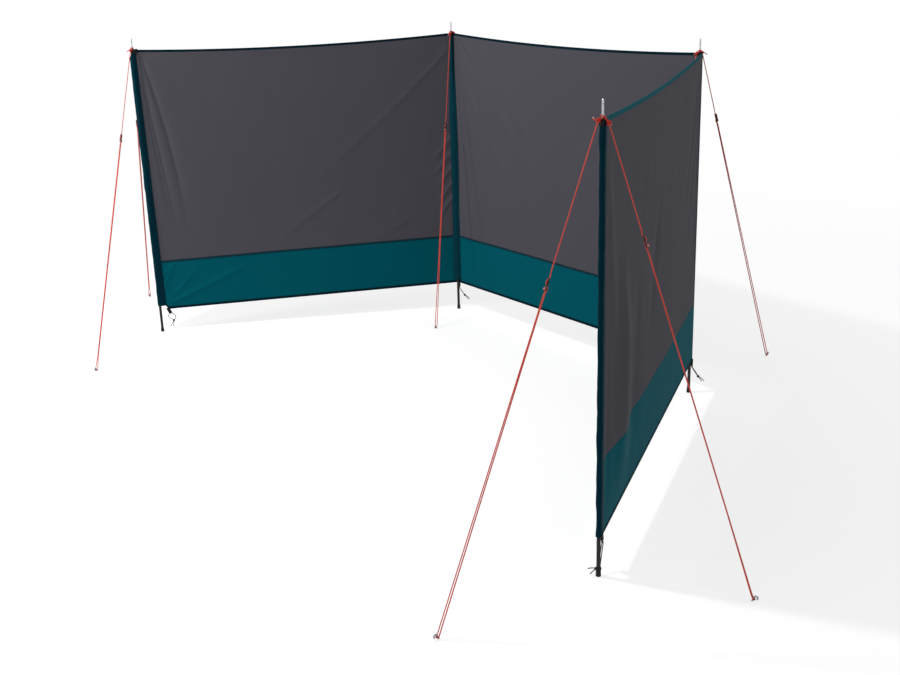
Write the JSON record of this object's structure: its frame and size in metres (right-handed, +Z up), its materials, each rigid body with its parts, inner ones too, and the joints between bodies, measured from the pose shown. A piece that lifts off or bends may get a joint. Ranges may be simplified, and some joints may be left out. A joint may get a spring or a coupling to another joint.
{
  "type": "beach windbreak",
  "caption": "Free-standing cloth windbreak folded round a half-hexagon plan, on slim poles with sleeves and spikes, with a contrasting skirt and taut guys to pegs",
  "frame": {"origin": "centre of the box of the whole, at ground level", "axes": "X along the middle bay, Y from the open front to the back, Z up"},
  "size_m": [4.424, 2.7435, 1.6],
  "materials": {
    "pole_paint": "black powder coat, satin",
    "spike_steel": "bright zinc-plated steel",
    "foot_plastic": "matt black moulded cap",
    "sleeve_cloth": "dark petrol woven polyester",
    "panel_cloth": "charcoal woven polyester with a faint coated sheen",
    "skirt_cloth": "teal woven polyester with a faint coated sheen",
    "binding_cloth": "dark teal edge binding, stitched",
    "hem_cloth": "dark teal folded hem, stitched",
    "webbing": "black woven webbing",
    "guy_cord": "braided red cord",
    "runner_plastic": "dark moulded runner",
    "peg_steel": "bent galvanised wire",
    "elastic": "black covered elastic"
  },
  "bodies": {
    "root": {"left_end_pole": "pole_paint", "left_end_spike": "spike_steel", "left_end_foot": "foot_plastic", "left_end_sleeve": "sleeve_cloth", "left_end_elastic": "elastic", "left_corner_pole": "pole_paint", "left_corner_spike": "spike_steel", "left_corner_foot": "foot_plastic", "left_corner_sleeve": "sleeve_cloth", "left_corner_elastic": "elastic", "right_corner_pole": "pole_paint", "right_corner_spike": "spike_steel", "right_corner_foot": "foot_plastic", "right_corner_sleeve": "sleeve_cloth", "right_corner_elastic": "elastic", "right_end_pole": "pole_paint", "right_end_spike": "spike_steel", "right_end_foot": "foot_plastic", "right_end_sleeve": "sleeve_cloth", "right_end_elastic": "elastic", "left_panel": "panel_cloth", "left_skirt": "skirt_cloth", "left_top_binding": "binding_cloth", "left_lower_hem": "hem_cloth", "middle_panel": "panel_cloth", "middle_skirt": "skirt_cloth", "middle_top_binding": "binding_cloth", "middle_lower_hem": "hem_cloth", "right_panel": "panel_cloth", "right_skirt": "skirt_cloth", "right_top_binding": "binding_cloth", "right_lower_hem": "hem_cloth", "top_straps": "webbing", "lower_tabs": "webbing", "guy_knots": "guy_cord", "left_front_guy": "guy_cord", "left_back_guy": "guy_cord", "left_inside_guy": "guy_cord", "left_outside_guy": "guy_cord", "right_inside_guy": "guy_cord", "right_outside_guy": "guy_cord", "right_front_guy": "guy_cord", "right_back_guy": "guy_cord", "guy_runners": "runner_plastic", "ground_pegs": "peg_steel"}
  },
  "joints": []
}
